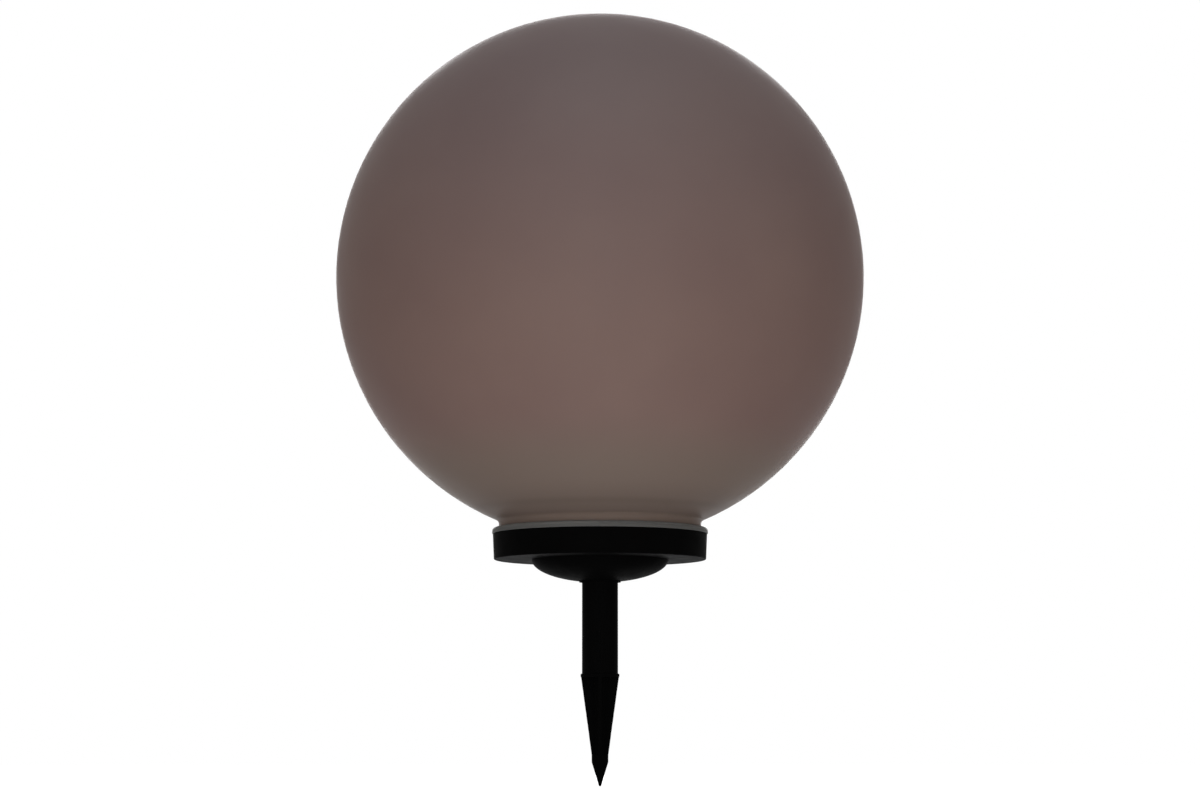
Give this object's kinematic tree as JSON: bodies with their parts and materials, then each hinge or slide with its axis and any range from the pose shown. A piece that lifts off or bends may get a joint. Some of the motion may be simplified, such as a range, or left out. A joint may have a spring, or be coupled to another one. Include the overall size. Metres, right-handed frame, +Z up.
{
  "type": "garden globe light",
  "caption": "Solar garden globe light: smoke-coloured plastic ball on a round black cap, with a short stem tube and a ground spike.",
  "frame": {"origin": "on the stem's axis, at the top of the spike's collar, which is level with the soil when the spike is driven in", "axes": "+Z up along the stem, -Y towards the viewer, +X to the viewer's right; the switch is on the rear, +Y"},
  "size_m": [0.4999, 0.4998, 0.7295],
  "materials": {
    "globe_plastic": "satin translucent smoke-taupe plastic",
    "cap_plastic": "satin black plastic",
    "stem_plastic": "satin black plastic tube",
    "spike_plastic": "matt black plastic",
    "housing_plastic": "matt black plastic",
    "black_rubber": "soft black rubber",
    "screw_steel": "zinc-plated",
    "white_plastic": "white plastic",
    "white_board": "white solder mask",
    "led_chip": "LED package with yellow phosphor",
    "frosted_plastic": "frosted plastic",
    "green_board": "green solder mask",
    "panel_board": "black solder mask under clear resin",
    "solar_cell": "dark blue silicon",
    "black_component": "moulded epoxy",
    "ferrite_winding": "ferrite",
    "capacitor_can": "aluminium can",
    "foam_tape": "grey foam tape",
    "battery_sleeve": "plain green sleeve",
    "contact_metal": "nickel-plated",
    "knob_plastic": "black plastic",
    "wire_red": "red insulation",
    "wire_black": "black insulation"
  },
  "bodies": {
    "spike": {"ground_spike": "spike_plastic"},
    "stem": {"stem_tube": "stem_plastic"},
    "head": {"base_cap": "cap_plastic", "globe_gasket": "black_rubber", "engine_housing": "housing_plastic", "housing_seal": "black_rubber", "housing_screws": "screw_steel", "led_post": "white_plastic", "led_side_boards": "white_board", "led_side_chips": "led_chip", "led_top_board": "white_board", "led_top_chips": "led_chip", "led_diffuser": "frosted_plastic", "tower_screws": "screw_steel", "control_board": "green_board", "board_screws": "screw_steel", "driver_chip": "black_component", "storage_inductor": "ferrite_winding", "filter_capacitor": "capacitor_can", "board_connectors": "white_plastic", "battery_holder": "housing_plastic", "battery_pad": "foam_tape", "battery_cell_front": "battery_sleeve", "battery_cell_rear": "battery_sleeve", "battery_contacts": "contact_metal", "switch_gasket": "black_rubber", "switch_body": "contact_metal", "switch_screws": "screw_steel", "panel_wires": "wire_red", "led_wires": "wire_red", "battery_wires": "wire_red", "switch_wires": "wire_black", "solar_panel_right": "panel_board", "solar_cells_right": "solar_cell", "solar_panel_rear": "panel_board", "solar_cells_rear": "solar_cell", "solar_panel_left": "panel_board", "solar_cells_left": "solar_cell", "solar_panel_front": "panel_board", "solar_cells_front": "solar_cell"},
    "globe": {"globe": "globe_plastic"},
    "switch": {"switch_knob": "knob_plastic"}
  },
  "joints": [
    {"name": "stem_pull", "type": "slide", "parent": "spike", "child": "stem", "axis": [0, 0, 1], "range_m": [0, 0.045]},
    {"name": "head_lift", "type": "slide", "parent": "stem", "child": "head", "axis": [0, 0, 1], "range_m": [0, 0.036]},
    {"name": "globe_twist", "type": "hinge", "parent": "head", "child": "globe", "pos_m": [0, 0, 0.131], "axis": [0, 0, 1], "range_deg": [0, 28]},
    {"name": "switch_slide", "type": "slide", "parent": "head", "child": "switch", "axis": [1, 0, 0], "range_m": [0, 0.004]}
  ]
}
